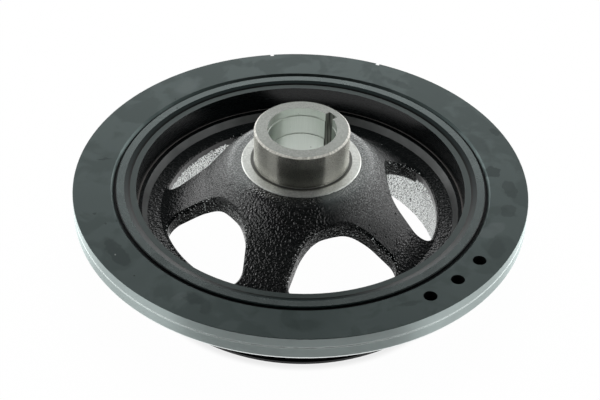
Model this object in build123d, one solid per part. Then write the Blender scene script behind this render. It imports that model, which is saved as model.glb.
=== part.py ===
import os
from math import hypot, radians, tan

from build123d import *

# Crankshaft pulley with a bonded damper ring, in millimetres.
# The crankshaft axis is Z, the belt side is down and the engine side is up.
# The origin is on the axis, in the plane of the belt-side end that the pulley stands on.

# Bore and keyway for the crankshaft nose
bore_diameter = 30.0
bore_length = 40.4
bore_chamfer = 1.0
relief_clearance = 0.3
relief_depth = 13.9
mouth_clearance = 0.6
mouth_depth = 4.15
key_width = 5.0
key_depth = 2.8
key_angle = 39.0

# Boss with its ground seal journal and the bare collar at its foot
boss_rise = 30.1
collar_rise = 12.9
journal_diameter = 43.0
journal_chamfer = 0.8
undercut_width = 0.8
undercut_depth = 0.5
bead_width = 1.6
bead_height = 0.25
collar_width = 5.6
collar_chamfer = 0.4
boss_front_diameter = 49.0
boss_front_chamfer = 1.2
boss_draft = 0.8

# Cast web: a rounded shoulder, a steep upper cone and a flatter lower cone
shoulder_width = 4.8
shoulder_drop = 0.4
shoulder_round = 4.5
knee_diameter = 87.0
knee_rise = 0.4
knee_round = 25.0
foot_width = 1.3
web_drop = 7.2
pocket_chamfer = 2.2

# Five windows in the web, with a spoke over the keyway
spoke_count = 5
window_inner_radius = 39.1
window_inner_width = 24.6
window_side_angle = 45.0
window_crown_round = 20.5
window_corner_round = 5.5
window_edge_chamfer = 1.1

# Belt barrel with multi-rib grooves
throat_diameter = 126.2
throat_length = 5.7
barrel_draft = 1.6
barrel_wall = 11.9
land_chamfer = 2.0
end_land = 3.2
upper_land = 2.74
rib_count = 6
rib_pitch = 3.56
rib_angle = 40.0
rib_depth = 2.9
rib_mouth = 3.0
crest_drop = 0.7

# Widths on the engine side, from the foot of the web out to the rubber
annulus_width = 6.0
cone_width = 2.3
groove_width = 1.7
ledge_width = 0.5
lip_width = 2.8
step_width = 2.6
rim_land_width = 3.8

# Depths on the engine side, below the face of the rim
lip_depth = 0.9
ledge_depth = 12.4
groove_depth = 1.7
cone_drop = 0.5
cone_height = 3.0
rim_depth = 17.0
rim_edge_chamfer = 0.4
rim_root_chamfer = 1.2
rim_foot_chamfer = 1.6

# Rubber bonded between the rim and the inertia ring, in a track bowed at mid height
rubber_thickness = 1.1
rubber_recess = 0.3
track_bow = 0.5
bond_gap = 0.02

# Inertia ring
ring_width = 18.3
ring_thickness = 11.0
ring_bore_chamfer = 1.1
ring_edge_chamfer = 0.15
ring_foot_rise = 0.7
ring_foot_cut = 0.3
scribe_depth = 5.0
scribe_width = 0.6
scribe_cut = 0.3

# Balance drillings in the face of the ring
drilling_count = 3
drilling_diameter = 6.0
drilling_depth = 7.0
drilling_inset = 9.9
drilling_first_angle = 306.7
drilling_step = 10.0
drill_point_angle = 118.0

# Timing notches in the edge of the ring
notch_angles = (69.0, 99.0)
notch_width = 1.7
notch_depth = 1.3

# How far a cutter starts outside the face that it cuts
overrun = 1.0

# Limits that tell which edges of the web are chamfered
touch = 0.001
steep = 0.999

# Levels above the belt-side end
ribs_top = end_land + rib_count * rib_pitch
rim_bottom = ribs_top + upper_land
face_height = rim_bottom + rim_depth
ledge_height = face_height - ledge_depth
cone_top = ledge_height - cone_drop
annulus_height = cone_top - cone_height
collar_height = face_height + collar_rise
boss_top = face_height + boss_rise
front_seat_height = boss_top - bore_length
ring_bottom = face_height - ring_thickness
track_top = face_height - ring_bore_chamfer - rubber_recess
track_bottom = ring_bottom + rubber_recess
track_middle = (track_top + track_bottom) / 2

# Radii from the axis outwards
bore_radius = bore_diameter / 2
key_reach = bore_radius + key_depth
journal_radius = journal_diameter / 2
collar_radius = journal_radius + collar_width
shoulder_radius = collar_radius + shoulder_width
knee_radius = knee_diameter / 2
throat_radius = throat_diameter / 2
land_radius = throat_radius + barrel_wall
foot_radius = throat_radius + foot_width
cone_inner_radius = foot_radius + annulus_width
cone_outer_radius = cone_inner_radius + cone_width
groove_outer_radius = cone_outer_radius + groove_width
well_radius = groove_outer_radius + ledge_width
lip_radius = well_radius + lip_width
rim_land_radius = lip_radius + step_width
rim_radius = rim_land_radius + rim_land_width
ring_bore_radius = rim_radius + rubber_thickness
ring_radius = ring_bore_radius + ring_width

# Straight throat under the outer end of the lower cone
lower_slope = (face_height + knee_rise - annulus_height) / (foot_radius - knee_radius)
throat_top = annulus_height + lower_slope * foot_width - web_drop
throat_bottom = throat_top - throat_length


def section(*edges):
    """Upright half section from edges drawn as radius and height."""
    return Plane.XZ * make_face(edges)


def track(radius):
    """Side of the rubber's seat, from the bottom up, bowed towards the axis at mid height."""
    return [(radius, track_bottom), (radius - track_bow, track_middle), (radius, track_top)]


def rim_corners():
    """Engine side of the rim, from the rubber inwards to the annulus at the foot of the web."""
    lip = face_height - lip_depth
    groove_floor = ledge_height - groove_depth
    return [
        (rim_radius, face_height - rim_edge_chamfer, 0),
        (rim_radius - rim_edge_chamfer, face_height, 0),
        (rim_land_radius, face_height, 0),
        (lip_radius, lip, 0),
        (well_radius, lip, 0),
        (well_radius, ledge_height, 0),
        (groove_outer_radius, ledge_height, 0),
        (groove_outer_radius, groove_floor, 0),
        (cone_outer_radius, groove_floor, 0),
        (cone_outer_radius, cone_top, 0),
        (cone_inner_radius, annulus_height, 0),
    ]


def web_corners():
    """Engine side of the web, from its foot up to the edge of the collar."""
    return [
        (foot_radius, annulus_height, 0),
        (knee_radius, face_height + knee_rise, knee_round),
        (shoulder_radius, collar_height - shoulder_drop, shoulder_round),
        (collar_radius, collar_height - collar_chamfer, 0),
    ]


def boss_corners():
    """Collar and boss, from the edge of the collar up to the mouth of the bore."""
    bead = collar_height + bead_height
    return [
        (collar_radius - collar_chamfer, collar_height, 0),
        (journal_radius + bead_width, collar_height, 0),
        (journal_radius + bead_width, bead, 0),
        (journal_radius - undercut_depth, bead, 0),
        (journal_radius - undercut_depth, bead + undercut_width, 0),
        (journal_radius, bead + undercut_width, 0),
        (journal_radius, boss_top - journal_chamfer, 0),
        (journal_radius - journal_chamfer, boss_top, 0),
    ]


def bore_corners():
    """Stepped bore, from its mouth down to the bolt seat."""
    mouth_radius = bore_radius + mouth_clearance
    relief_radius = bore_radius + relief_clearance
    return [
        (mouth_radius, boss_top, 0),
        (mouth_radius, boss_top - mouth_depth, 0),
        (relief_radius, boss_top - mouth_depth, 0),
        (relief_radius, boss_top - relief_depth, 0),
        (bore_radius, boss_top - relief_depth, 0),
        (bore_radius, front_seat_height + bore_chamfer, 0),
        (bore_radius + bore_chamfer, front_seat_height, 0),
    ]


def pocket_corners():
    """Belt side, from the bolt seat out under the web and down the throat to the end."""
    boss_front = boss_front_diameter / 2
    boss_root = boss_front + boss_draft
    roof = collar_height - web_drop
    return [
        (boss_front - boss_front_chamfer, front_seat_height, 0),
        (boss_front, front_seat_height + boss_front_chamfer, 0),
        (boss_root, roof - pocket_chamfer, 0),
        (boss_root + pocket_chamfer, roof, 0),
        (shoulder_radius, roof - shoulder_drop, 0),
        (knee_radius, face_height + knee_rise - web_drop, knee_round),
        (throat_radius, throat_top, 0),
        (throat_radius, throat_bottom, 0),
        (throat_radius + barrel_draft, 0, 0),
    ]


def barrel_corners():
    """Outside of the barrel, from the end up to the underside of the rim."""
    return [
        (land_radius - land_chamfer, 0, 0),
        (land_radius, land_chamfer, 0),
        (land_radius, rim_bottom - rim_root_chamfer, 0),
        (land_radius + rim_root_chamfer, rim_bottom, 0),
        (rim_radius - rim_foot_chamfer, rim_bottom, 0),
        (rim_radius, rim_bottom + rim_foot_chamfer, 0),
    ]


def hub_blank():
    """Turned and cast hub before its grooves, windows and keyway."""
    engine_side = rim_corners() + web_corners() + boss_corners() + bore_corners()
    corners = engine_side + pocket_corners() + barrel_corners()
    bottom, middle, top = track(rim_radius)
    path = [top] + [corner[:2] for corner in corners] + [bottom]
    rounds = [corner[2] for corner in corners]
    skin = FilletPolyline(*path, radius=rounds)
    return revolve(section(skin, Polyline(bottom, middle, top)), Axis.Z)


def belt_grooves():
    """Ring of metal turned off the barrel: the sunk crests and the grooves between the ribs."""
    crest = land_radius - crest_drop
    root = crest - rib_depth
    outside = land_radius + overrun
    mouth_half = rib_mouth / 2
    floor_half = mouth_half - rib_depth * tan(radians(rib_angle / 2))
    profile = [(crest, end_land)]
    for index in range(rib_count):
        middle = end_land + (index + 0.5) * rib_pitch
        profile += [(crest, middle - mouth_half), (root, middle - floor_half)]
        profile += [(root, middle + floor_half), (crest, middle + mouth_half)]
    profile += [(crest, ribs_top), (outside, ribs_top), (outside, end_land)]
    return revolve(section(Polyline(*profile, close=True)), Axis.Z)


def window_outline():
    """Plan of one window on the +X side: a crowned inner end, straight sides and rounded corners."""
    inner_half = window_inner_width / 2
    outer_half = inner_half + (throat_radius - window_inner_radius) * tan(radians(window_side_angle))
    blank = make_face(
        Polyline(
            (window_inner_radius, -inner_half),
            (throat_radius, -outer_half),
            (throat_radius, outer_half),
            (window_inner_radius, inner_half),
            close=True,
        )
    )
    opening = blank & Circle(throat_radius)
    corners = opening.vertices().sort_by(Axis.X)
    opening = fillet(corners[:2], window_crown_round)
    corners = opening.vertices().sort_by(Axis.X)
    return fillet(corners[-2:], window_corner_round)


def window_tools():
    """Five upright prisms that pass through the web between the spokes."""
    tool = Pos(0, 0, throat_bottom) * extrude(window_outline(), collar_height - throat_bottom)
    step = 360 / spoke_count
    return [Rot(0, 0, key_angle + (index + 0.5) * step) * tool for index in range(spoke_count)]


def keyway_tool():
    """Straight slot along the whole bore."""
    block = Box(key_reach, key_width, bore_length, align=(Align.MIN, Align.CENTER, Align.MIN))
    return Rot(0, 0, key_angle) * Pos(0, 0, front_seat_height) * block


def web_top(radius):
    """Height of the engine side of the web at a radius, with its roundings left out."""
    corners = [corner[:2] for corner in reversed(web_corners())]
    for (inner, high), (outer, low) in zip(corners, corners[1:]):
        if radius < outer:
            return high + (low - high) * (radius - inner) / (outer - inner)
    return annulus_height


def window_rim(hub, tool):
    """Edges that one window leaves on the engine side of the web."""
    rim = []
    for edge in hub.edges():
        middle = edge @ 0.5
        upright = abs((edge % 0.5).Z) > steep
        above_web = middle.Z > web_top(hypot(middle.X, middle.Y)) - web_drop / 2
        if above_web and not upright and tool.distance_to(middle) < touch:
            rim.append(edge)
    return rim


def hub_casting():
    """Hub: boss, five-spoke web, outer rim and belt barrel in one casting."""
    hub = hub_blank() - belt_grooves() - keyway_tool()
    tools = window_tools()
    for tool in tools:
        hub -= tool
    rims = [edge for tool in tools for edge in window_rim(hub, tool)]
    return chamfer(rims, window_edge_chamfer)


def damper_rubber():
    """Elastomer ring bonded in the crowned track."""
    inner = track(rim_radius + bond_gap)
    outer = track(ring_bore_radius - bond_gap)
    return revolve(section(Polyline(*inner, *reversed(outer), close=True)), Axis.Z)


def ring_blank():
    """Inertia ring before its drillings and notches."""
    scribe = face_height - scribe_depth
    outline = Polyline(
        *reversed(track(ring_bore_radius)),
        (ring_bore_radius, ring_bottom),
        (ring_radius - ring_foot_cut, ring_bottom),
        (ring_radius, ring_bottom + ring_foot_rise),
        (ring_radius, scribe - scribe_width / 2),
        (ring_radius - scribe_cut, scribe - scribe_width / 2),
        (ring_radius, scribe + scribe_width / 2),
        (ring_radius, face_height - ring_edge_chamfer),
        (ring_radius - ring_edge_chamfer, face_height),
        (ring_bore_radius + ring_bore_chamfer, face_height),
        (ring_bore_radius, face_height - ring_bore_chamfer),
        close=True,
    )
    return revolve(section(outline), Axis.Z)


def balance_drilling():
    """Drill shape with its point down, with the centre of its mouth at the origin."""
    radius = drilling_diameter / 2
    point = radius / tan(radians(drill_point_angle / 2))
    shape = Polyline(
        (0, overrun),
        (radius, overrun),
        (radius, -drilling_depth),
        (0, -drilling_depth - point),
        close=True,
    )
    return revolve(section(shape), Axis.Z)


def inertia_ring():
    """Heavy outer ring with its balance drillings and timing notches."""
    ring = ring_blank()
    for index in range(drilling_count):
        turn = Rot(0, 0, drilling_first_angle + index * drilling_step)
        ring -= turn * Pos(ring_radius - drilling_inset, 0, face_height) * balance_drilling()
    floor = ring_radius - notch_depth
    size = (notch_depth + overrun, notch_width, ring_thickness + 2 * overrun)
    notch = Pos(floor, 0, ring_bottom - overrun) * Box(*size, align=(Align.MIN, Align.CENTER, Align.MIN))
    for angle in notch_angles:
        ring -= Rot(0, 0, angle) * notch
    return ring


def write(name, shape):
    """Save one piece under its node name."""
    export_step(shape, f"parts/{name}.step")


os.makedirs("parts", exist_ok=True)
write("hub_casting", hub_casting())
write("damper_rubber", damper_rubber())
write("inertia_ring", inertia_ring())
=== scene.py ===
import math

import bpy
from mathutils import Matrix, Vector


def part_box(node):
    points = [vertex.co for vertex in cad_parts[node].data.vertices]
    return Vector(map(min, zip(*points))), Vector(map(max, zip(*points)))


# Crankshaft pulley: finishes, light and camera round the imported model.
# Metres, crankshaft axis along Z, belt side down, engine side up.
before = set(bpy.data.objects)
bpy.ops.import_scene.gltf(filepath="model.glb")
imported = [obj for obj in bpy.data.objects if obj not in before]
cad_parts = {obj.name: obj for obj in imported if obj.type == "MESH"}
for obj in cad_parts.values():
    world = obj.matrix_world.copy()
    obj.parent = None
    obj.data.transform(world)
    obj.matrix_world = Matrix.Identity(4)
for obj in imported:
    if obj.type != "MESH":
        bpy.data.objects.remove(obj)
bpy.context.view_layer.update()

MM = 0.001

# Levels and radii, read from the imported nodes
BOSS_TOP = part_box("hub_casting")[1].z
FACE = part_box("inertia_ring")[1].z
RING_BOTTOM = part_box("inertia_ring")[0].z
RING_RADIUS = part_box("inertia_ring")[1].x
RIM_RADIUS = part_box("hub_casting")[1].x

# Levels of the borders between the finishes
END_CHAMFER = BOSS_TOP - 1.5 * MM
COLLAR_FACE = FACE + 12.4 * MM
SEAT_LEVEL = BOSS_TOP - 40.5 * MM
LIP_LEVEL = FACE - 1.0 * MM
LEDGE_LEVEL = FACE - 12.4 * MM
LEDGE_REACH = 0.2 * MM
CONE_LEVEL = FACE - 16.0 * MM
BARREL_TOP = FACE - 16.0 * MM
WINDOW_DEPTH = 12.0 * MM
EDGE = 0.6 * MM

# Radii of the borders between the finishes, from the axis outwards
BORE_RADIUS = 15.0 * MM
BORE_SLACK = 0.9 * MM
BORE_LIMIT = 18.4 * MM
SEAT_LIMIT = 24.6 * MM
COLLAR_RADIUS = 27.15 * MM
WINDOW_START = 36.0 * MM
THROAT_LIMIT = 60.0 * MM
CONE_INNER = 70.3 * MM
CONE_OUTER = 72.8 * MM
GROOVE_OUTER = 74.35 * MM
WELL_RADIUS = 74.8 * MM
STEP_INNER = 77.7 * MM
STEP_OUTER = 80.3 * MM
RING_CHAMFER = RIM_RADIUS + 2.6 * MM
FOOT_BEVEL_INNER = RING_RADIUS - 0.45 * MM
FOOT_BEVEL_OUTER = RING_RADIUS - 0.05 * MM

# How far a facet looks up, or out from the axis: 1 is straight
UPRIGHT = 0.3
FACING = 0.7
SQUARE_ON = 0.9
LEVEL = 0.99

# Painted highlights: lighter bands on the side of the ring at the scribed line and the foot
SCRIBE_LEVEL = FACE - 5.0 * MM
SCRIBE_HIGHLIGHT_WIDTH = 0.8 * MM
SCRIBE_HIGHLIGHT_SHARE = 0.5
FOOT_HIGHLIGHT_TOP = RING_BOTTOM + 1.0 * MM
FOOT_HIGHLIGHT_FULL = RING_BOTTOM + 0.5 * MM

# Painted shade line along the undercut, and paint edge on the collar
UNDERCUT_RADIUS = 22.3 * MM
PAINT_START = 28.25 * MM
PAINT_END = 28.5 * MM
PAINT_FRAY = 2.0 * MM

# Overspray at the top of the barrel
SPRAY_START = FACE - 17.2 * MM
SPRAY_END = FACE - 16.2 * MM
SPRAY_FRAY = 5 * MM

# Grain of the casting: its roughest spoke, its feet and its well
ROUGH_SPOKE = (math.cos(math.radians(255)), math.sin(math.radians(255)), 0)
FEET_START = 55 * MM
FEET_END = 62 * MM
FEET_FRAY = 8 * MM
WELL_START = FACE - 7 * MM
WELL_END = FACE - 13 * MM

# Camera, recovered from the circles in the photograph
IMAGE_WIDTH = 600
IMAGE_HEIGHT = 400
FOCAL_PIXELS = 1680.49
AIM_PIXEL = (300.813, 181.677)
AIM = Vector((0, 0, FACE))
DISTANCE = 766.7 * MM
ELEVATION = math.radians(38.47)
ROLL = math.radians(-1.523)
SENSOR = 36.0
NEAREST = 10 * MM

# Studio: a white sweep all round, a dark room behind the camera, brighter strips on either
# side of that room, and a bright box low down behind the pulley
FRONT_HALF_WIDTH = math.radians(53)
FRONT_SOFTNESS = math.radians(2)
FRONT_LIGHT = 0.02
SWEEP_LIGHT = 1.0
CEILING_LIGHT = 0.06
SWEEP_TOP = 0.52
SWEEP_FADE = 0.17
STRIP_LIGHT = 0.4
STRIP_END = math.radians(72)
STRIP_FADE = math.radians(14)
BOX_START = math.radians(106)
BOX_SOFTNESS = math.radians(10)
BOX_LIGHT = 2.0
BOX_TOP = 0.36
BOX_FADE = 0.20
LAMP_PLACE = Vector((0.0, 0.25, 1.1))
LAMP_SIZE = 0.9
LAMP_POWER = 9.0

# Table, a little darker where the barrel stands on it
FLOOR_RADIUS = 0.3
FLOOR_SIDES = 64
FLOOR_DROP = 0.05 * MM
FLOOR_PAPER = (0.9, 0.9, 0.9)
FLOOR_GLOW = 0.985
CONTACT_GLOW = 0.8
CONTACT_RADIUS = 74 * MM
CONTACT_FADE = 4 * MM

# Stains on the ring: strength, colour, then angle, radius, half length, half width, lean and
# softness, in degrees and millimetres
RAGGED = 4.2 * MM
RAGGED_GRAIN = 3.5 * MM
STAIN_DULLNESS = 0.04
STAIN_HEIGHT = 1000
DARK_STAIN = (0.030, 0.042, 0.041)
PALE_STAIN = (0.115, 0.138, 0.138)
PALE_DOT = (0.25, 0.27, 0.26)
STAINS = (
    (0.7, DARK_STAIN, 241.5, 91.5, 5.0, 3.2, 0, 0.35),
    (0.5, DARK_STAIN, 246.0, 93.5, 2.6, 4.5, 25, 0.3),
    (0.35, PALE_STAIN, 238.0, 93.5, 1.8, 3.5, -20, 0.3),
    (0.7, DARK_STAIN, 213.8, 94.6, 10.5, 3.6, 0, 0.12),
    (1.0, PALE_DOT, 214.4, 95.7, 0.35, 0.35, 0, 0.4),
    (0.8, DARK_STAIN, 196.4, 94.6, 0.8, 0.7, 0, 0.3),
    (0.8, DARK_STAIN, 201.3, 91.8, 0.7, 0.6, 0, 0.3),
    (0.8, DARK_STAIN, 200.9, 87.1, 0.9, 0.7, 0, 0.3),
    (0.8, DARK_STAIN, 172.0, 92.0, 0.8, 3.4, 15, 0.3),
    (0.45, DARK_STAIN, 59.5, 92.3, 8.5, 2.4, 0, 0.3),
    (0.75, DARK_STAIN, 7.1, 88.9, 4.2, 3.6, 0, 0.08),
    (0.55, DARK_STAIN, 359.0, 95.4, 6.5, 2.8, 12, 0.1),
    (0.5, DARK_STAIN, 349.5, 95.0, 4.5, 3.4, 0, 0.1),
    (0.45, DARK_STAIN, 21.0, 89.0, 9.0, 3.6, 8, 0.4),
    (0.6, DARK_STAIN, 24.5, 101.0, 3.4, 1.5, 0, 0.2),
    (0.45, PALE_STAIN, 340.0, 90.5, 7.0, 3.6, -25, 0.15),
    (0.4, DARK_STAIN, 333.0, 96.5, 7.0, 3.4, 10, 0.2),
    (0.5, DARK_STAIN, 300.5, 93.0, 5.5, 1.0, -12, 0.4),
    (0.4, DARK_STAIN, 272.0, 95.0, 7.0, 3.6, 6, 0.45),
    (0.35, PALE_STAIN, 128.0, 92.0, 9.0, 4.0, 15, 0.4),
)

# Two colours of each finish, between which its pattern goes
TONES = {
    "journal": ((0.46, 0.455, 0.40), (0.61, 0.61, 0.56)),
    "end": ((0.26, 0.275, 0.255), (0.37, 0.385, 0.36)),
    # end_edge: pale tones, a painted highlight along the chamfer round the top of the boss
    "end_edge": ((0.40, 0.395, 0.36), (0.80, 0.79, 0.72)),
    "collar": ((0.56, 0.58, 0.55), (0.72, 0.74, 0.71)),
    "bore": ((0.69, 0.735, 0.69), (0.81, 0.86, 0.81)),
    "keyway": ((0.16, 0.165, 0.155), (0.62, 0.64, 0.60)),
    # paint: its black, then the paler tone of the painted light on the ring near the collar
    "paint": ((0.003, 0.004, 0.0042), (0.052, 0.060, 0.059)),
    "barrel": ((0.72, 0.75, 0.74), (0.93, 0.95, 0.94)),
    # step: its black, then the darker painted shade at the foot of the slope
    "step": ((0.009, 0.014, 0.014), (0.001, 0.001, 0.001)),
    "lip": ((0.050, 0.064, 0.062), (0.070, 0.086, 0.084)),
    "band": ((0.050, 0.054, 0.054), (0.125, 0.130, 0.129)),
    # ledge: the bare band finish in lighter tones, partly a painted highlight along the ledge
    "ledge": ((0.15, 0.14, 0.135), (0.28, 0.265, 0.255)),
    "land": ((0.130, 0.156, 0.154), (0.150, 0.178, 0.176)),
    "flange": ((0.058, 0.077, 0.075), (0.076, 0.098, 0.096)),
    "turned": ((0.42, 0.49, 0.48), (0.54, 0.61, 0.60)),
    # bright: near-white metal, a painted highlight on the foot bevel and the scribed groove
    "bright": ((0.86, 0.92, 0.91), (0.95, 0.98, 0.975)),
    # drilled: near-black, painted shade in the drillings and notches
    "drilled": ((0.002, 0.003, 0.003), (0.006, 0.007, 0.007)),
    "rubber": ((0.002, 0.0023, 0.0025), (0.004, 0.0045, 0.005)),
}

# Marks and coats on top of those, and the colours of painted highlights, glints, sheen and shade
PHOSPHATE_SPECK = (0.02, 0.025, 0.025)
STEEL_HAZE = (0.38, 0.42, 0.42)
# near-white colour of the painted highlights on the side of the ring
STEEL_PAINTED_HIGHLIGHT = (0.86, 0.93, 0.92)
END_PIT = (0.05, 0.05, 0.045)
BORE_PIT = (0.08, 0.08, 0.07)
# dark colour of the nicks, and of the painted shade line at the undercut
COLLAR_NICK_AND_SHADE = (0.06, 0.06, 0.055)
COLLAR_PAINT = (0.01, 0.01, 0.01)
# pale specks of painted sheen on the flanks of the web near the collar
PAINTED_SHEEN_SPECK = (0.19, 0.205, 0.20)
# a touch lighter black on the spoke that faces the front: painted sheen for its glints
SPOKE_PAINTED_SHEEN = (0.005, 0.006, 0.006)
# pale specks of painted glints on the walls of the windows
PAINTED_GLINT = (0.72, 0.76, 0.75)
BARREL_SPECK = (0.03, 0.035, 0.035)
OVERSPRAY = (0.008, 0.008, 0.008)
SATIN_BLACK = (0.003, 0.0045, 0.005)

QUARTER_TURN = 0.25

SHADER_SOCKETS = {
    "color": "Base Color",
    "metal": "Metallic",
    "rough": "Roughness",
    "specular": "Specular IOR Level",
    "grain": "Anisotropic",
    "turn": "Anisotropic Rotation",
}


class Nodes:
    """Short calls that add shader nodes to a tree and link them."""

    def __init__(self, tree):
        self.tree = tree
        tree.nodes.clear()

    def add(self, kind, output=0, inputs=(), **settings):
        """Adds a node with its settings and inputs, and returns one of its outputs."""
        node = self.tree.nodes.new(kind)
        for name, value in settings.items():
            setattr(node, name, value)
        for name, value in dict(inputs).items():
            self.feed(node.inputs[name], value)
        return node.outputs[output]

    def feed(self, socket, value):
        """Links a socket to another, or gives it a number, vector or colour."""
        if isinstance(value, bpy.types.NodeSocket):
            self.tree.links.new(value, socket)
        elif socket.type == "RGBA":
            socket.default_value = (*value, 1)
        else:
            socket.default_value = value

    def maths(self, operation, first, second=0.0):
        return self.add("ShaderNodeMath", inputs={0: first, 1: second}, operation=operation)

    def times(self, first, second):
        return self.maths("MULTIPLY", first, second)

    def most(self, first, second):
        return self.maths("MAXIMUM", first, second)

    def gap(self, first, second):
        """How far apart two values are."""
        return self.maths("ABSOLUTE", self.maths("SUBTRACT", first, second))

    def vector(self, operation, first, second=(0, 0, 0)):
        output = "Value" if operation in ("LENGTH", "DOT_PRODUCT") else "Vector"
        return self.add("ShaderNodeVectorMath", output, {0: first, 1: second}, operation=operation)

    def step(self, value, low, high, start=0.0, end=1.0):
        """Smooth step from start to end while value goes from low to high."""
        inputs = {
            "Value": value,
            "From Min": low,
            "From Max": high,
            "To Min": start,
            "To Max": end,
        }
        return self.add("ShaderNodeMapRange", inputs=inputs, interpolation_type="SMOOTHSTEP")

    def vary(self, pattern, start, end):
        """Value from start to end that follows the middle range of a pattern."""
        return self.step(pattern, 0.3, 0.7, start, end)

    def mix(self, factor, first, second):
        """Colour between two colours, which are sockets 6 and 7 of the node."""
        inputs = {0: factor, 6: first, 7: second}
        return self.add("ShaderNodeMix", 2, inputs, data_type="RGBA")


class Finish(Nodes):
    """A material under construction, on one Principled shader."""

    def __init__(self, name):
        self.material = bpy.data.materials.new(name)
        self.material.use_nodes = True
        super().__init__(self.material.node_tree)
        self.shader = self.tree.nodes.new("ShaderNodeBsdfPrincipled")
        output = self.tree.nodes.new("ShaderNodeOutputMaterial")
        self.tree.links.new(self.shader.outputs["BSDF"], output.inputs["Surface"])
        self.place = self.add("ShaderNodeTexCoord", "Object")
        self.flat = self.vector("MULTIPLY", self.place, (1, 1, 0))
        self.radius = self.vector("LENGTH", self.flat)
        self.height = self.add("ShaderNodeSeparateXYZ", "Z", {0: self.place})

    def shade(self, **values):
        for name, value in values.items():
            self.feed(self.shader.inputs[SHADER_SOCKETS[name]], value)

    def noise(self, grain, stretch=None, place=None, output=0, **shape):
        """Noise from 0 to 1 with grains of that size in metres, drawn out by a stretch."""
        place = place or self.place
        if stretch:
            place = self.vector("MULTIPLY", place, stretch)
        inputs = {"Vector": place, "Scale": 1 / grain}
        for name, value in shape.items():
            inputs[name.capitalize()] = value
        return self.add("ShaderNodeTexNoise", output, inputs)

    def patches(self, grain, low, high, **shape):
        """Mask of the patches where a noise of that grain goes past low, full at high."""
        return self.step(self.noise(grain, **shape), low, high)

    def pits(self, spacing, outer, inner, patches):
        """Mask of pits of that spacing within patches, with sizes as shares of the spacing."""
        inputs = {"Vector": self.place, "Scale": 1 / spacing}
        cells = self.add("ShaderNodeTexVoronoi", inputs=inputs)
        return self.times(self.step(cells, outer, inner), self.patches(*patches))

    def frayed(self, value, reach, grain, **shape):
        """A radius or level with noise of that reach added, for a ragged border."""
        return self.maths("ADD", value, self.times(self.noise(grain, **shape), reach))

    def turned(self, pitch, stretch):
        """Fine lines round the axis: noise that is drawn out along the circles."""
        direction = self.vector("NORMALIZE", self.flat)
        along = self.vector("MULTIPLY", direction, (stretch * pitch, stretch * pitch, 0))
        across = self.maths("ADD", self.radius, self.height)
        across = self.add("ShaderNodeCombineXYZ", inputs={2: across})
        return self.noise(pitch, place=self.vector("ADD", along, across), detail=3.0)

    def bump(self, relief, depth):
        """Adds relief of that depth in metres on top of the relief so far."""
        inputs = {"Height": relief, "Distance": depth}
        socket = self.shader.inputs["Normal"]
        if socket.is_linked:
            inputs["Normal"] = socket.links[0].from_socket
        self.feed(socket, self.add("ShaderNodeBump", "Normal", inputs))

    def grain_round_axis(self, grain):
        """Brushed sheen of grooves that run round the axis."""
        tangent = self.add("ShaderNodeTangent", "Tangent", direction_type="RADIAL", axis="Z")
        self.feed(self.shader.inputs["Tangent"], tangent)
        self.shade(grain=grain, turn=QUARTER_TURN)

    def spot(self, place, angle, radius, long, wide, lean, soft):
        """Mask of an oval spot, by polar place, half length round the ring and half width."""
        around = math.radians(angle)
        middle = (radius * MM * math.cos(around), radius * MM * math.sin(around), 0)
        inputs = {
            0: self.vector("SUBTRACT", place, middle),
            "Rotation": (0, 0, around + math.radians(lean)),
            "Scale": (wide * MM, long * MM, STAIN_HEIGHT),
        }
        axes = self.add("ShaderNodeMapping", inputs=inputs, vector_type="TEXTURE")
        return self.step(self.vector("LENGTH", axes), 1 + soft, 1 - soft)


def phosphate(name, tones, rough, stains):
    """Dark blue-grey conversion coat with cloudy patches, stains and specks."""
    f = Finish(name)
    wobble = f.noise(RAGGED_GRAIN, detail=3.0, output="Color")
    ragged = f.vector("ADD", f.flat, f.vector("MULTIPLY", wobble, (RAGGED, RAGGED, 0)))
    ragged = f.vector("SUBTRACT", ragged, (RAGGED / 2, RAGGED / 2, 0))
    clouds = f.noise(14 * MM, detail=3.0, distortion=0.5)
    haze = f.vary(f.noise(40 * MM, detail=3.0), -0.1, 0.1)
    base = f.mix(f.step(f.maths("ADD", clouds, haze), 0.42, 0.56), *tones)
    specks = f.pits(7 * MM, 0.07, 0.04, patches=(16 * MM, 0.56, 0.62))
    base = f.mix(specks, base, PHOSPHATE_SPECK)
    dull = f.step(clouds, 0.4, 0.6, rough + 0.03, rough - 0.02)
    for strength, colour, *oval in stains:
        mask = f.times(f.spot(ragged, *oval), strength)
        base = f.mix(mask, base, colour)
        dull = f.maths("ADD", dull, f.times(mask, STAIN_DULLNESS))
    f.shade(color=base, metal=0.95, rough=dull)
    f.bump(f.noise(0.35 * MM, detail=2.0), 0.004 * MM)
    return f.material


def dull_lip(name, tones):
    """Duller black ring inside the rim land."""
    f = Finish(name)
    lines = f.turned(0.3 * MM, 20)
    f.shade(color=f.mix(lines, *tones), metal=0.85, rough=0.5)
    f.bump(lines, 0.003 * MM)
    return f.material


def rim_step(name, tones):
    """Narrow slope inside the rim land, glossy black, with painted shade in a dark line at its
    foot.
    """
    f = Finish(name)
    lines = f.turned(0.3 * MM, 20)
    # Painted shade: the colour goes darker towards the crease at the foot of the slope
    foot = f.step(f.radius, 78.9 * MM, 78.3 * MM)
    f.shade(color=f.mix(foot, *tones), rough=f.vary(lines, 0.30, 0.40), specular=0.15)
    f.bump(lines, 0.003 * MM)
    return f.material


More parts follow.
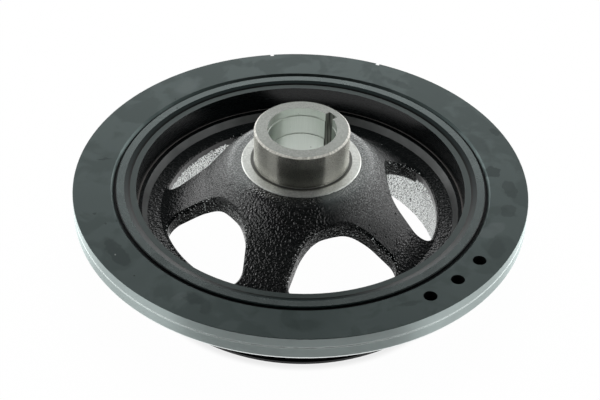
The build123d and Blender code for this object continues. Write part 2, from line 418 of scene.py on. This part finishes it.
def turned_steel(name, tones):
    """Bare turned side of the inertia ring, with painted highlights at the scribed line and foot.
    """
    f = Finish(name)
    lines = f.turned(0.25 * MM, 30)
    cloud = f.step(f.noise(12 * MM, detail=3.0), 0.45, 0.7, 0.0, 0.25)
    base = f.mix(cloud, f.mix(lines, *tones), STEEL_HAZE)
    # Painted highlights: the colour turns near-white in bands at the scribed line and the foot
    scribe = f.gap(f.height, SCRIBE_LEVEL)
    scribe = f.step(scribe, SCRIBE_HIGHLIGHT_WIDTH, SCRIBE_HIGHLIGHT_WIDTH / 2, 0.0, SCRIBE_HIGHLIGHT_SHARE)
    shine = f.most(scribe, f.step(f.height, FOOT_HIGHLIGHT_TOP, FOOT_HIGHLIGHT_FULL))
    base = f.mix(shine, base, STEEL_PAINTED_HIGHLIGHT)
    f.shade(color=base, metal=1.0, rough=f.vary(lines, 0.48, 0.56))
    f.grain_round_axis(0.95)
    f.bump(lines, 0.003 * MM)
    return f.material


def bright_steel(name, tones):
    """Bevel at the foot of the ring, near-white: a painted highlight, also on the scribed groove.
    """
    f = Finish(name)
    f.shade(color=f.mix(f.turned(0.3 * MM, 30), *tones), metal=0.9, rough=0.35)
    return f.material


def ground_steel(name, tones):
    """Ground seal journal."""
    f = Finish(name)
    lines = f.turned(0.12 * MM, 60)
    cloud = f.noise(7 * MM, stretch=(1, 1, 2), detail=3.0)
    f.shade(color=f.mix(cloud, *tones), metal=1.0, rough=f.vary(lines, 0.25, 0.31))
    f.grain_round_axis(1.0)
    f.bump(lines, 0.001 * MM)
    return f.material


def turned_end(name, tones, rough, metal):
    """Faced metal with fine rings, mottle and small pits."""
    f = Finish(name)
    lines = f.turned(0.2 * MM, 40)
    mottle = f.noise(0.9 * MM, detail=3.0, roughness=0.6)
    base = f.mix(f.step(f.maths("ADD", lines, mottle), 0.7, 1.3), *tones)
    pits = f.pits(1.7 * MM, 0.12, 0.06, patches=(5 * MM, 0.55, 0.6))
    f.shade(color=f.mix(pits, base, END_PIT), metal=metal, rough=rough)
    f.grain_round_axis(0.4)
    f.bump(mottle, 0.012 * MM)
    return f.material


def bare_collar(name, tones):
    """Pale faced collar with nicks, a painted shade line at the undercut, and ragged black paint.
    """
    f = Finish(name)
    mottle = f.noise(0.8 * MM, detail=3.0, roughness=0.6)
    base = f.mix(f.step(mottle, 0.35, 0.65), *tones)
    nicks = f.patches(1.6 * MM, 0.72, 0.75, detail=2.0)
    # Painted shade: a dark line along the undercut
    undercut_shade = f.step(f.gap(f.radius, UNDERCUT_RADIUS), 0.9 * MM, 0.5 * MM, 0.0, 0.9)
    base = f.mix(f.most(undercut_shade, nicks), base, COLLAR_NICK_AND_SHADE)
    edge = f.frayed(f.radius, PAINT_FRAY, 2.4 * MM, detail=4.0)
    paint = f.step(edge, PAINT_START, PAINT_END)
    f.shade(color=f.mix(paint, base, COLLAR_PAINT), metal=f.step(paint, 0, 1, 0.8, 0))
    f.shade(rough=f.vary(mottle, 0.36, 0.46))
    f.bump(mottle, 0.012 * MM)
    return f.material


def bored_steel(name, tones):
    """Bore wall with fine upright draw marks and a few dark specks."""
    f = Finish(name)
    streaks = f.noise(0.5 * MM, stretch=(1, 1, 0.06), detail=3.0)
    pits = f.pits(2.6 * MM, 0.13, 0.07, patches=(6 * MM, 0.5, 0.56))
    base = f.mix(streaks, *tones)
    f.shade(color=f.mix(pits, base, BORE_PIT), metal=1.0, rough=f.vary(streaks, 0.28, 0.36))
    f.grain_round_axis(0.9)
    f.bump(streaks, 0.006 * MM)
    return f.material


def slotted_steel(name, tones):
    """Broached keyway with upright marks."""
    f = Finish(name)
    streaks = f.noise(0.7 * MM, stretch=(1, 1, 0.03), detail=2.0)
    f.shade(color=f.mix(f.step(streaks, 0.40, 0.6), *tones), metal=0.8, rough=0.35)
    f.bump(streaks, 0.01 * MM)
    return f.material


def cast_paint(name, tones, wall):
    """Glossy black paint over the grain of the casting, roughest on one spoke, at the feet
    and low in the well. Wall is 1 on the walls of the windows, which are rough all over and
    have painted glints as pale specks in their colour, and 0 elsewhere."""
    f = Finish(name)
    direction = f.vector("NORMALIZE", f.flat)
    facing = f.vector("DOT_PRODUCT", direction, ROUGH_SPOKE)
    feet = f.step(f.frayed(f.radius, FEET_FRAY, 5 * MM, detail=2.0), FEET_START, FEET_END)
    rough = f.most(feet, f.step(facing, 0.78, 0.92))
    rough = f.most(f.most(rough, f.step(f.height, WELL_START, WELL_END)), wall)

    # Colour: painted light on a paler ring near the collar, and painted sheen as pale specks on
    # both flanks
    flank = f.maths("ABSOLUTE", f.add("ShaderNodeSeparateXYZ", "X", {0: direction}))
    # Painted sheen: pale specks on both flanks near the collar
    flank_sheen = f.times(f.step(f.radius, 50 * MM, 28 * MM), f.step(flank, 0.4, 0.8))
    sheen_specks = f.times(flank_sheen, f.patches(0.7 * MM, 0.45, 0.65, detail=3.0))
    # Painted light: a paler ring of the paint near the collar
    painted_shoulder_light = f.times(f.step(f.radius, 37 * MM, 30 * MM), f.step(facing, 0.92, 0.75))
    base = f.mix(sheen_specks, f.mix(painted_shoulder_light, *tones), PAINTED_SHEEN_SPECK)
    # Painted sheen: a touch lighter black on the front spoke
    base = f.mix(f.step(facing, 0.80, 0.95), base, SPOKE_PAINTED_SHEEN)
    # Painted glints: pale specks in the colour of the window walls
    painted_glints = f.times(f.patches(0.8 * MM, 0.62, 0.66, detail=2.0), wall)
    f.shade(color=f.mix(painted_glints, base, PAINTED_GLINT))

    # Gloss: twice the shine on the rough spoke, and dull pits
    pits = f.pits(3.1 * MM, 0.18, 0.10, patches=(9 * MM, 0.46, 0.52))
    gloss = f.step(rough, 0.0, 1.0, 0.24, 0.07)
    shine = 0.5 - 0.25 * wall
    f.shade(rough=f.most(gloss, f.times(pits, 0.9)))
    f.shade(specular=f.step(facing, 0.80, 0.95, shine, 2 * shine))

    # Relief: coarse where it is rough, fine on the flanks near the collar, where the sheen is
    # painted
    coarse = f.noise(1.0 * MM, detail=1.0)
    fine = f.noise(0.45 * MM, detail=2.0)
    f.bump(f.times(coarse, f.step(rough, 0, 1, 0.30, 1)), 0.62 * MM)
    flank_fine_relief = f.step(f.maths("SUBTRACT", flank_sheen, rough), -1, 1, 0.2, 2.2)
    f.bump(f.times(fine, flank_fine_relief), 0.13 * MM)
    f.bump(pits, -0.25 * MM)
    return f.material


def bare_barrel(name, tones):
    """Pale bare casting inside the barrel, speckled, with overspray along its top edge."""
    f = Finish(name)
    grain = f.noise(0.8 * MM, detail=3.0, roughness=0.6)
    base = f.mix(f.step(grain, 0.35, 0.6), *tones)
    base = f.mix(f.patches(0.6 * MM, 0.53, 0.58, detail=1.0), base, BARREL_SPECK)
    edge = f.frayed(f.height, SPRAY_FRAY, 1.6 * MM, detail=3.0)
    spray = f.step(edge, SPRAY_START, SPRAY_END)
    f.shade(color=f.mix(spray, base, OVERSPRAY))
    f.shade(rough=f.step(spray, 0.0, 1.0, 0.5, 0.2), metal=f.step(spray, 0.0, 1.0, 0.85, 0.0))
    f.bump(grain, 0.06 * MM)
    return f.material


def satin_paint(name):
    """Thin smooth black on the turned surfaces in the well and under the rim."""
    f = Finish(name)
    lines = f.turned(0.3 * MM, 20)
    f.shade(color=SATIN_BLACK, rough=f.vary(lines, 0.22, 0.32), specular=0.35)
    f.bump(lines, 0.003 * MM)
    return f.material


def burnished_band(name, tones):
    """Turned band rubbed through the black at the foot of the web; also the ledge, painted lighter
    as a highlight.
    """
    f = Finish(name)
    lines = f.turned(0.3 * MM, 20)
    wear = f.noise(8 * MM, detail=3.0)
    f.shade(color=f.mix(wear, *tones), metal=0.6, rough=f.vary(lines, 0.30, 0.42))
    f.bump(lines, 0.004 * MM)
    return f.material


def black_rubber(name, tones):
    """Dull elastomer."""
    f = Finish(name)
    grain = f.noise(0.6 * MM, detail=3.0)
    f.shade(color=f.mix(grain, *tones), rough=0.7, specular=0.2)
    f.bump(grain, 0.02 * MM)
    return f.material


def drilled_shade_black(name, tones):
    """Near-black walls of the drillings and notches: painted shade in the recesses."""
    f = Finish(name)
    lines = f.noise(0.4 * MM, stretch=(0.1, 0.1, 1), detail=2.0)
    f.shade(color=f.mix(lines, *tones), rough=0.6, specular=0.2)
    f.bump(lines, 0.01 * MM)
    return f.material


def boss_zone(radius, height, facing, outward):
    """Finish of a facet of the boss, or None outside it."""
    if radius < BORE_LIMIT and height > SEAT_LEVEL and facing < FACING:
        bored = outward < -SQUARE_ON and radius < BORE_RADIUS + BORE_SLACK
        return "bore" if bored else "keyway"
    if height > END_CHAMFER:
        return "end" if facing > SQUARE_ON else "end_edge"
    if height > COLLAR_FACE and radius < COLLAR_RADIUS:
        return "collar" if facing > UPRIGHT else "journal"
    if radius < SEAT_LIMIT and height < SEAT_LEVEL + EDGE:
        return "end"
    return None


def rim_zone(radius, height, facing):
    """Finish of a facet outside the well."""
    if height <= LIP_LEVEL:
        return "satin"
    if STEP_INNER < radius < STEP_OUTER and facing < LEVEL:
        return "step"
    if radius < STEP_INNER:
        return "lip" if facing > FACING else "satin"
    return "land" if facing > SQUARE_ON else "step"


def hub_zone(radius, height, facing, outward):
    """Finish of a facet of the hub."""
    boss = boss_zone(radius, height, facing, outward)
    if boss:
        return boss
    if radius > WELL_RADIUS:
        return rim_zone(radius, height, facing)
    if abs(height - LEDGE_LEVEL) < LEDGE_REACH and radius > GROOVE_OUTER:
        return "ledge"
    if CONE_INNER < radius < CONE_OUTER and height > CONE_LEVEL and facing > 0:
        return "band"
    if radius > CONE_INNER:
        return "satin"
    if radius > THROAT_LIMIT and height < BARREL_TOP and outward < -FACING:
        return "barrel"
    across = math.sqrt(max(0, 1 - facing ** 2 - outward ** 2))
    if radius > WINDOW_START and height > BARREL_TOP - WINDOW_DEPTH:
        if across > UPRIGHT or facing < UPRIGHT:
            return "window"
    return "paint"


def ring_zone(radius, height, facing, *rest):
    """Finish of a facet of the inertia ring."""
    if radius > FOOT_BEVEL_INNER and height < FACE - EDGE:
        return "bright" if radius < FOOT_BEVEL_OUTER else "turned"
    if abs(facing) > FACING or radius > RING_RADIUS - EDGE or radius < RING_CHAMFER:
        return "flange"
    return "drilled"


def rubber_zone(*spot):
    """Finish of every facet of the rubber."""
    return "rubber"


def dress(node, zone, finishes):
    """Gives each facet of a node the finish of its zone."""
    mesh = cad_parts[node].data
    mesh.materials.clear()
    slots = {}
    for facet in mesh.polygons:
        middle, normal = facet.center, facet.normal
        radius = math.hypot(middle.x, middle.y)
        outward = (middle.x * normal.x + middle.y * normal.y) / radius
        name = zone(radius, middle.z, normal.z, outward)
        if name not in slots:
            slots[name] = len(mesh.materials)
            mesh.materials.append(finishes[name])
        facet.material_index = slots[name]


def dress_all():
    finishes = {
        "journal": ground_steel("ground_journal", TONES["journal"]),
        "end": turned_end("turned_end", TONES["end"], rough=0.42, metal=0.85),
        # The chamfer round the top of the boss, pale and not metal: its highlight is painted in
        "end_edge": turned_end("boss_edge_painted_highlight", TONES["end_edge"], rough=0.5, metal=0.0),
        "collar": bare_collar("bare_collar", TONES["collar"]),
        "bore": bored_steel("bored_steel", TONES["bore"]),
        "keyway": slotted_steel("keyway_steel", TONES["keyway"]),
        "paint": cast_paint("cast_black_paint", TONES["paint"], wall=0.0),
        "window": cast_paint("cast_window_paint", TONES["paint"], wall=1.0),
        "barrel": bare_barrel("bare_barrel", TONES["barrel"]),
        "satin": satin_paint("satin_black"),
        "step": rim_step("rim_step", TONES["step"]),
        "lip": dull_lip("rim_lip", TONES["lip"]),
        "band": burnished_band("burnished_band", TONES["band"]),
        # The ledge: bare metal like the band, with lighter tones that paint a highlight along it
        "ledge": burnished_band("ledge_painted_highlight", TONES["ledge"]),
        "land": phosphate("rim_land_phosphate", TONES["land"], rough=0.25, stains=()),
        "flange": phosphate("ring_phosphate", TONES["flange"], rough=0.38, stains=STAINS),
        "turned": turned_steel("turned_steel", TONES["turned"]),
        # Near-white metal that paints the highlight of the foot bevel and the scribed groove
        "bright": bright_steel("steel_painted_highlight", TONES["bright"]),
        "drilled": drilled_shade_black("drilled_shade_black", TONES["drilled"]),
        "rubber": black_rubber("black_rubber", TONES["rubber"]),
    }
    dress("hub_casting", hub_zone, finishes)
    dress("inertia_ring", ring_zone, finishes)
    dress("damper_rubber", rubber_zone, finishes)


def make_world():
    """The studio as light and in reflections. The camera itself sees plain white."""
    world = bpy.data.worlds.new("studio")
    bpy.context.scene.world = world
    world.use_nodes = True
    n = Nodes(world.node_tree)
    axes = n.tree.nodes.new("ShaderNodeSeparateXYZ")
    n.feed(axes.inputs[0], n.add("ShaderNodeTexCoord", "Generated"))
    x, y, z = axes.outputs
    turn = n.maths("ABSOLUTE", n.maths("ARCTAN2", x, n.times(y, -1.0)))
    side = n.step(turn, FRONT_HALF_WIDTH - FRONT_SOFTNESS, FRONT_HALF_WIDTH + FRONT_SOFTNESS)
    sweep = n.step(z, SWEEP_TOP, SWEEP_TOP + SWEEP_FADE, SWEEP_LIGHT, CEILING_LIGHT)
    strips = n.step(turn, STRIP_END, STRIP_END + STRIP_FADE, 1 + STRIP_LIGHT, 1)
    box = n.times(n.step(turn, BOX_START, BOX_START + BOX_SOFTNESS, 0, BOX_LIGHT),
                  n.step(z, BOX_TOP, BOX_TOP + BOX_FADE, 1, 0))
    light = n.times(side, n.maths("ADD", n.times(sweep, strips), box))
    light = n.maths("ADD", light, FRONT_LIGHT)
    seen = n.add("ShaderNodeLightPath", "Is Camera Ray")
    strength = n.add("ShaderNodeMix", 0, {0: seen, 2: light, 3: 1.0}, data_type="FLOAT")
    shine = n.add("ShaderNodeBackground", inputs={"Color": (1, 1, 1), "Strength": strength})
    output = n.tree.nodes.new("ShaderNodeOutputWorld")
    n.feed(output.inputs["Surface"], shine)


def make_floor():
    """Table that glows white to the camera and in reflections, and keeps a faint shadow."""
    bpy.ops.mesh.primitive_circle_add(
        vertices=FLOOR_SIDES, radius=FLOOR_RADIUS, fill_type="NGON")
    floor = bpy.context.object
    floor.name = "table_top"
    floor.location.z = -FLOOR_DROP
    material = bpy.data.materials.new("table_white")
    material.use_nodes = True
    n = Nodes(material.node_tree)
    paths = n.tree.nodes.new("ShaderNodeLightPath")
    seen = n.most(paths.outputs["Is Camera Ray"], paths.outputs["Is Glossy Ray"])
    seen = n.most(seen, paths.outputs["Is Transmission Ray"])
    paper = n.add("ShaderNodeBsdfDiffuse", inputs={"Color": FLOOR_PAPER})
    glow = n.add("ShaderNodeEmission", inputs={"Color": (1, 1, 1), "Strength": 1.0})
    reach = n.vector("LENGTH", n.add("ShaderNodeTexCoord", "Object"))
    contact = n.gap(reach, CONTACT_RADIUS)
    white = n.step(contact, 0, CONTACT_FADE, CONTACT_GLOW, FLOOR_GLOW)
    surface = n.add("ShaderNodeMixShader", inputs={0: n.times(seen, white), 1: paper, 2: glow})
    output = n.tree.nodes.new("ShaderNodeOutputMaterial")
    n.feed(output.inputs["Surface"], surface)
    floor.data.materials.append(material)


def make_lamp():
    """Square soft lamp overhead that points at the pulley and shows in no reflection."""
    data = bpy.data.lights.new("overhead", "AREA")
    data.size = LAMP_SIZE
    data.energy = LAMP_POWER
    lamp = bpy.data.objects.new("overhead", data)
    bpy.context.scene.collection.objects.link(lamp)
    lamp.location = LAMP_PLACE
    lamp.rotation_euler = (AIM - LAMP_PLACE).to_track_quat("-Z", "Y").to_euler()
    lamp.visible_glossy = False
    lamp.visible_camera = False


def make_camera():
    """Camera of the photograph: a level look at the aim point, then roll, then a turn that
    puts the aim point on its own pixel."""
    data = bpy.data.cameras.new("photo_camera")
    data.sensor_width = SENSOR
    data.lens = FOCAL_PIXELS * SENSOR / IMAGE_WIDTH
    data.clip_start = NEAREST
    camera = bpy.data.objects.new("photo_camera", data)
    bpy.context.scene.collection.objects.link(camera)
    back = Vector((0, -math.cos(ELEVATION), math.sin(ELEVATION)))
    right = AIM_PIXEL[0] - IMAGE_WIDTH / 2
    down = AIM_PIXEL[1] - IMAGE_HEIGHT / 2
    towards_aim = Vector((right, -down, -FOCAL_PIXELS))
    offset = towards_aim.rotation_difference(Vector((0, 0, -1))).to_matrix().to_4x4()
    level = Matrix.Rotation(math.pi / 2 - ELEVATION, 4, "X")
    roll = Matrix.Rotation(-ROLL, 4, "Z")
    camera.matrix_world = Matrix.Translation(AIM + back * DISTANCE) @ level @ roll @ offset
    bpy.context.scene.camera = camera


dress_all()
make_world()
make_floor()
make_lamp()
make_camera()
bpy.context.scene.view_settings.view_transform = "Standard"
